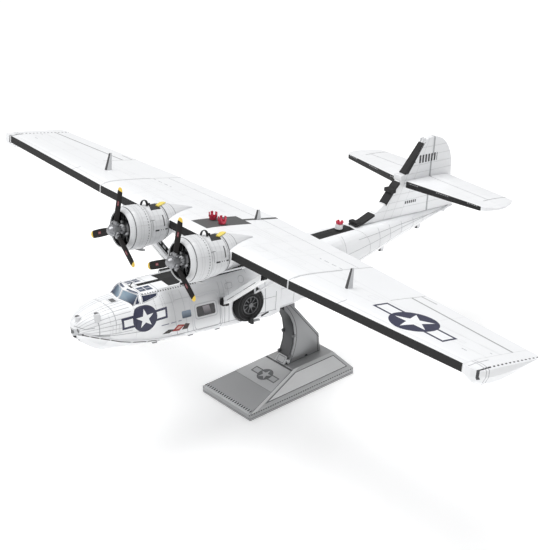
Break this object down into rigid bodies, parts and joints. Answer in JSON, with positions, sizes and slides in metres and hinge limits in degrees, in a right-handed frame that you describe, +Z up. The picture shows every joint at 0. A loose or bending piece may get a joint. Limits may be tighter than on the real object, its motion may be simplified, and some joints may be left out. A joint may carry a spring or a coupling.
{
  "type": "desk model of a twin-engined amphibian flying boat on a plinth",
  "caption": "Etched sheet-metal desk model of a twin-engined amphibian flying boat, nose up on a plinth, with propellers and main wheels that turn.",
  "frame": {"origin": "centre of the plinth's underside", "axes": "+Z up, -Y towards the bow, +X to the aircraft's port wing tip"},
  "size_m": [0.3144, 0.2078, 0.1069],
  "materials": {
    "white_etched_steel": "satin white over thin etched sheet",
    "bare_steel": "satin bare metal",
    "blade_black": "satin black with yellow tips",
    "tyre_black": "matt black",
    "smoked_glazing": "gloss, printed as dark glazing in white frames",
    "beacon_red": "gloss red",
    "plinth_grey": "dark satin metal"
  },
  "bodies": {
    "airframe": {"bow_cap": "white_etched_steel", "foredeck": "white_etched_steel", "hull_front": "white_etched_steel", "hull_waist": "white_etched_steel", "hull_tail": "white_etched_steel", "canopy": "white_etched_steel", "pylon": "white_etched_steel", "wing_centre": "white_etched_steel", "wing_left": "white_etched_steel", "wing_right": "white_etched_steel", "tip_float_left": "white_etched_steel", "tip_float_right": "white_etched_steel", "nacelle_left": "white_etched_steel", "nacelle_right": "white_etched_steel", "cowling_left": "white_etched_steel", "cowling_right": "white_etched_steel", "strut_front_left": "white_etched_steel", "strut_front_right": "white_etched_steel", "strut_rear_left": "white_etched_steel", "strut_rear_right": "white_etched_steel", "fin": "white_etched_steel", "rudder": "white_etched_steel", "tailplane_left": "white_etched_steel", "tailplane_right": "white_etched_steel", "elevator_left": "white_etched_steel", "elevator_right": "white_etched_steel", "mast_left": "white_etched_steel", "mast_right": "white_etched_steel", "mast_centre": "white_etched_steel", "bow_post": "white_etched_steel", "bow_cleat": "white_etched_steel", "beacon_post": "white_etched_steel", "engine_left": "bare_steel", "engine_right": "bare_steel", "axle_left": "bare_steel", "axle_right": "bare_steel", "blister_left": "smoked_glazing", "blister_right": "smoked_glazing", "beacon_crown": "beacon_red", "wing_beacon_left": "beacon_red", "wing_beacon_right": "beacon_red", "stand_base": "plinth_grey", "stand_column": "plinth_grey"},
    "propeller_left": {"propeller_left": "blade_black"},
    "propeller_right": {"propeller_right": "blade_black"},
    "wheel_left": {"tyre_left": "tyre_black", "wheel_rim_left": "bare_steel"},
    "wheel_right": {"tyre_right": "tyre_black", "wheel_rim_right": "bare_steel"}
  },
  "joints": [
    {"name": "propeller_left_spin", "type": "hinge", "parent": "airframe", "child": "propeller_left", "pos_m": [0.0206, -0.06324, 0.08871], "axis": [0, -0.9826, 0.1857], "continuous": true},
    {"name": "propeller_right_spin", "type": "hinge", "parent": "airframe", "child": "propeller_right", "pos_m": [-0.0206, -0.06324, 0.08871], "axis": [0, -0.9826, 0.1857], "continuous": true},
    {"name": "wheel_left_roll", "type": "hinge", "parent": "airframe", "child": "wheel_left", "pos_m": [0.0125, -0.02327, 0.0527], "axis": [1, 0, 0], "continuous": true},
    {"name": "wheel_right_roll", "type": "hinge", "parent": "airframe", "child": "wheel_right", "pos_m": [-0.0125, -0.02327, 0.0527], "axis": [1, 0, 0], "continuous": true}
  ]
}
